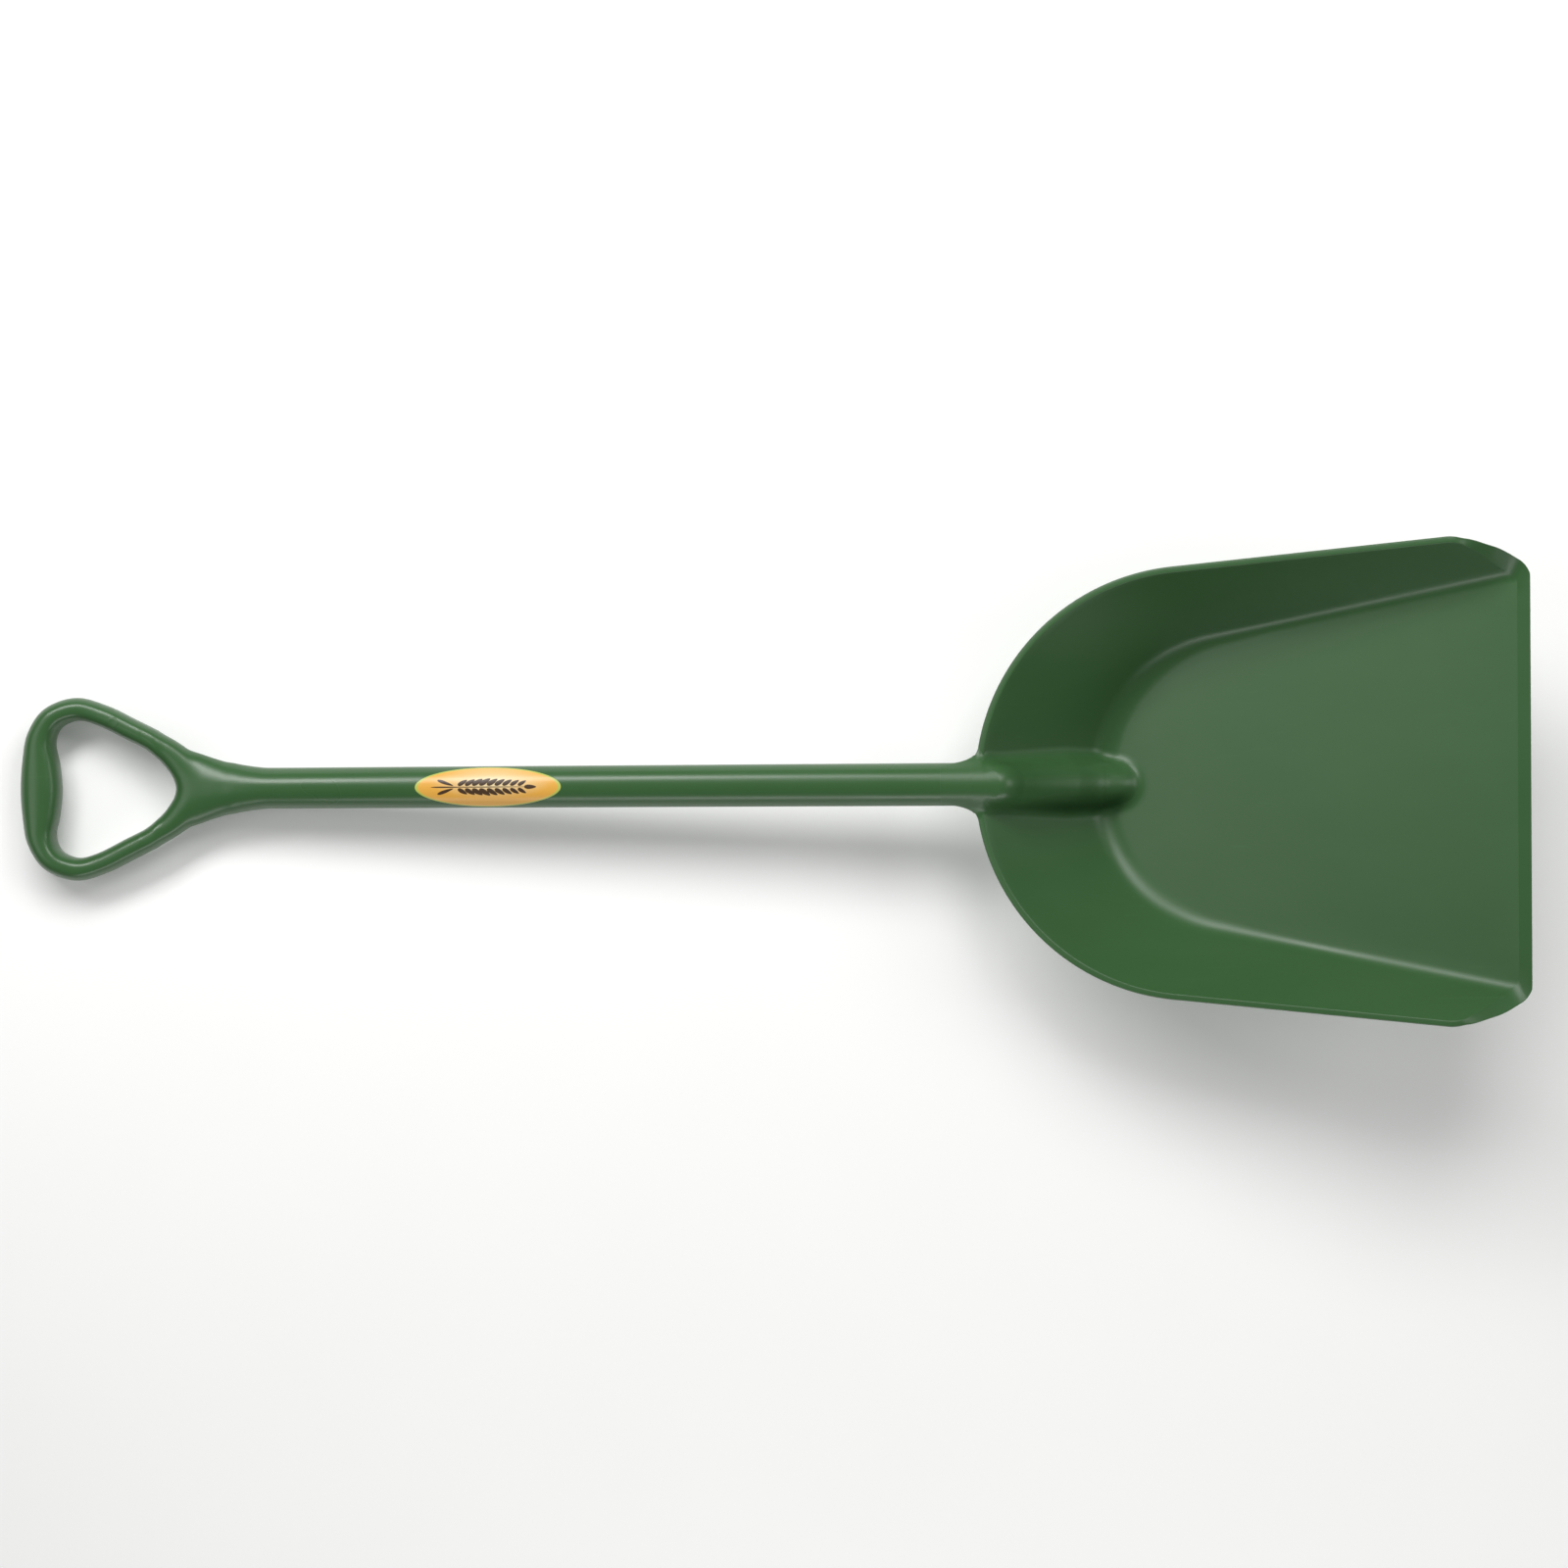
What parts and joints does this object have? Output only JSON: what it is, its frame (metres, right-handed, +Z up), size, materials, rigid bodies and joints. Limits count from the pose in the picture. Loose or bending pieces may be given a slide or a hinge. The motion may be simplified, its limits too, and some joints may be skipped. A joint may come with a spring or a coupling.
{
  "type": "grain scoop shovel",
  "caption": "Green plastic grain scoop shovel with a deep flared scoop, a round hollow handle and a D grip, for moving loose grain, feed and seed.",
  "frame": {"origin": "on the ground under the middle of the shovel's bounding box, as it lies on its heel and its grip bar with the scoop's open side up", "axes": "+X along the shovel from the grip towards the scoop's lip, +Z up from the ground, +Y across the shovel"},
  "size_m": [1.1212, 0.3556, 0.162],
  "materials": {
    "green_plastic": "satin moulded polypropylene",
    "plug_plastic": "satin moulded polypropylene",
    "label_film": "glossy printed film"
  },
  "bodies": {
    "root": {"scoop_blade": "green_plastic", "shaft_tube": "green_plastic", "d_grip": "green_plastic", "gas_pin_plug": "plug_plastic", "shaft_label": "label_film"}
  },
  "joints": []
}
